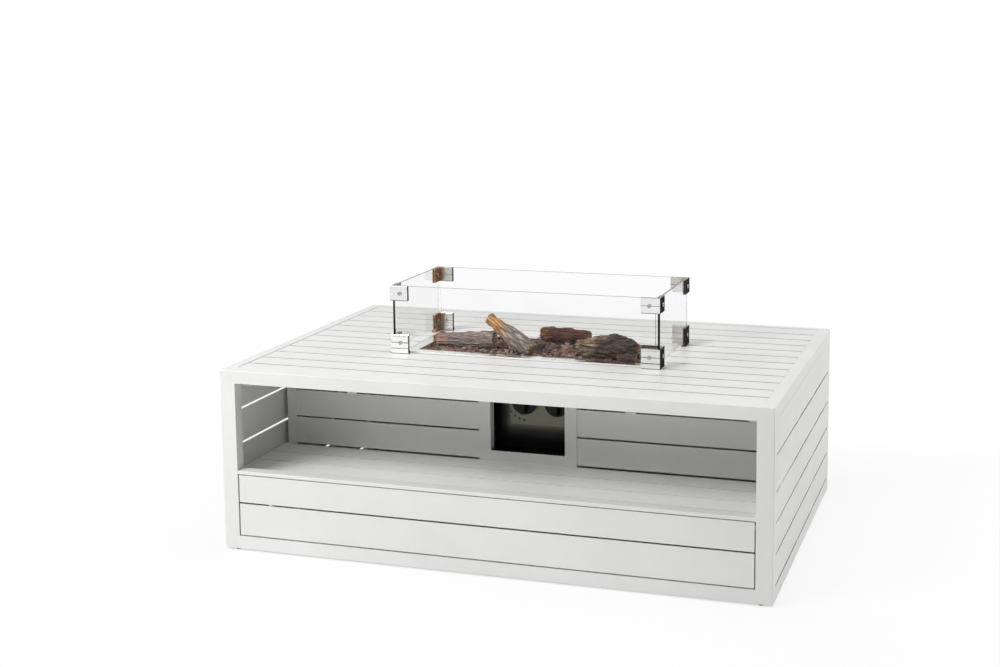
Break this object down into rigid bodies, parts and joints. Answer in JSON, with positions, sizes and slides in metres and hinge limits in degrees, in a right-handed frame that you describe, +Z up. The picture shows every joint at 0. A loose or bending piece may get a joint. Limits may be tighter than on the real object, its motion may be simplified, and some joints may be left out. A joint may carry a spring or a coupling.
{
  "type": "fire table",
  "caption": "Low outdoor lounge table of white slatted aluminium with a gas burner sunk in its top, a glass wind guard on it and a shelf niche with control knobs.",
  "frame": {"origin": "on the floor, under the middle of the table", "axes": "+X along the table to the right as seen from the niche, +Y from the niche side to the back, +Z up"},
  "size_m": [1.2, 0.8, 0.554],
  "materials": {
    "white_powder_coat": "fine satin powder coat on aluminium",
    "clear_glass": "clear toughened glass with polished edges",
    "polished_clamp": "mirror polished",
    "stainless_burner": "bright stainless sheet",
    "brushed_plate": "brushed along its length",
    "black_housing": "matte black heat paint",
    "bright_steel": "turned",
    "black_knob": "moulded, semi gloss",
    "brass": "as cast and turned",
    "black_plastic": "moulded",
    "white_ceramic": "unglazed",
    "lava_stone": "rough porous chips",
    "ceramic_log": "cast bark, painted and matte",
    "grey_glide": "moulded"
  },
  "bodies": {
    "table": {"back_slats": "white_powder_coat", "battens": "white_powder_coat", "bottom_back_rail": "white_powder_coat", "bottom_front_rail": "white_powder_coat", "bottom_left_rail": "white_powder_coat", "bottom_right_rail": "white_powder_coat", "burner_tray": "stainless_burner", "burner_tube": "stainless_burner", "control_frame": "white_powder_coat", "control_housing": "black_housing", "control_plate": "brushed_plate", "control_recess": "black_housing", "electrode": "white_ceramic", "feed_pipe": "stainless_burner", "feet": "grey_glide", "front_slats": "white_powder_coat", "gas_inlet": "brass", "gas_valve": "brass", "igniter": "black_plastic", "lava_bed": "lava_stone", "lava_screen": "stainless_burner", "left_slats": "white_powder_coat", "log_back": "ceramic_log", "log_leaning": "ceramic_log", "log_left": "ceramic_log", "log_right": "ceramic_log", "log_stub": "ceramic_log", "log_twig": "ceramic_log", "niche_head": "white_powder_coat", "niche_posts": "white_powder_coat", "niche_sill": "white_powder_coat", "niche_slats": "white_powder_coat", "post_back_left": "white_powder_coat", "post_back_right": "white_powder_coat", "post_front_left": "white_powder_coat", "post_front_right": "white_powder_coat", "right_slats": "white_powder_coat", "shelf_bearers": "white_powder_coat", "shelf_lip": "white_powder_coat", "shelf_slats": "white_powder_coat", "top_back_rail": "white_powder_coat", "top_bearers": "white_powder_coat", "top_front_beam": "white_powder_coat", "top_left_rail": "white_powder_coat", "top_right_rail": "white_powder_coat", "top_slats_back": "white_powder_coat", "top_slats_front": "white_powder_coat", "top_slats_left": "white_powder_coat", "top_slats_right": "white_powder_coat"},
    "wind_guard": {"clamp_bolts": "polished_clamp", "glass_back": "clear_glass", "glass_front": "clear_glass", "glass_left": "clear_glass", "glass_right": "clear_glass", "lower_clamps": "polished_clamp", "upper_clamps": "polished_clamp"},
    "flame_stem": {"flame_stem": "bright_steel"},
    "flame_knob": {"flame_knob": "black_knob"},
    "ignition_stem": {"ignition_stem": "bright_steel"},
    "ignition_knob": {"ignition_knob": "black_knob"}
  },
  "joints": [
    {"name": "guard_lift", "type": "slide", "parent": "table", "child": "wind_guard", "axis": [0, 0, 1], "range_m": [0, 0.2]},
    {"name": "flame_push", "type": "slide", "parent": "table", "child": "flame_stem", "axis": [0, 1, 0], "range_m": [0, 0.004], "stiffness_N_per_m": 800, "springref_m": -0.004},
    {"name": "flame_turn", "type": "hinge", "parent": "flame_stem", "child": "flame_knob", "pos_m": [-0.016, -0.088, 0.292], "axis": [0, -1, 0], "range_deg": [0, 180]},
    {"name": "ignition_push", "type": "slide", "parent": "table", "child": "ignition_stem", "axis": [0, 1, 0], "range_m": [0, 0.004], "stiffness_N_per_m": 800, "springref_m": -0.004},
    {"name": "ignition_turn", "type": "hinge", "parent": "ignition_stem", "child": "ignition_knob", "pos_m": [0.06, -0.088, 0.292], "axis": [0, -1, 0], "range_deg": [0, 90]}
  ]
}
